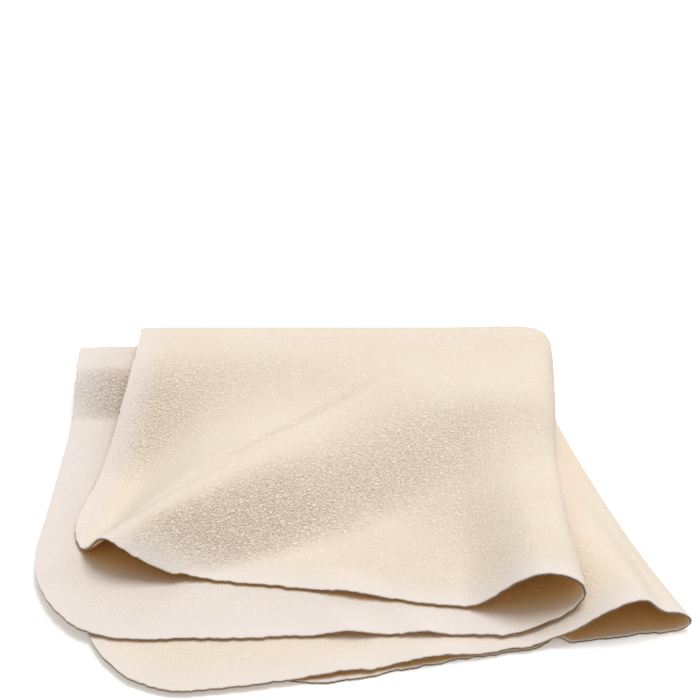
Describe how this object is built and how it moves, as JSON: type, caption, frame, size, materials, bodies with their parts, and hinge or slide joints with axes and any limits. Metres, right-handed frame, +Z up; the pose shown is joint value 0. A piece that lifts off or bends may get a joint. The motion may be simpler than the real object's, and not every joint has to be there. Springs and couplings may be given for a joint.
{
  "type": "chamois leather",
  "caption": "Soft chamois leather cloth with rounded cut corners, folded over on itself into a loose pile, for wiping lenses and other delicate surfaces.",
  "frame": {"origin": "on the underside of the bottom quarter, under the middle of the pile", "axes": "+Z up through the pile, +Y towards the back folds, +X towards the right folds"},
  "size_m": [0.1919, 0.1571, 0.0223],
  "materials": {
    "leather": "napped suede, cream on one side and paler on the other"
  },
  "bodies": {
    "lower_half": {"bottom_quarter": "leather", "lower_inner_quarter": "leather", "lower_right_fold": "leather", "outer_back_fold": "leather", "inner_back_fold": "leather", "corner_fold": "leather"},
    "upper_half": {"top_quarter": "leather", "upper_inner_quarter": "leather", "upper_right_fold": "leather"}
  },
  "joints": [
    {"name": "back_fold", "type": "hinge", "parent": "lower_half", "child": "upper_half", "pos_m": [0, 0.0635, 0.0115], "axis": [-1, 0, 0], "range_deg": [0, 180], "deforming": ["outer_back_fold", "inner_back_fold", "corner_fold"]}
  ]
}
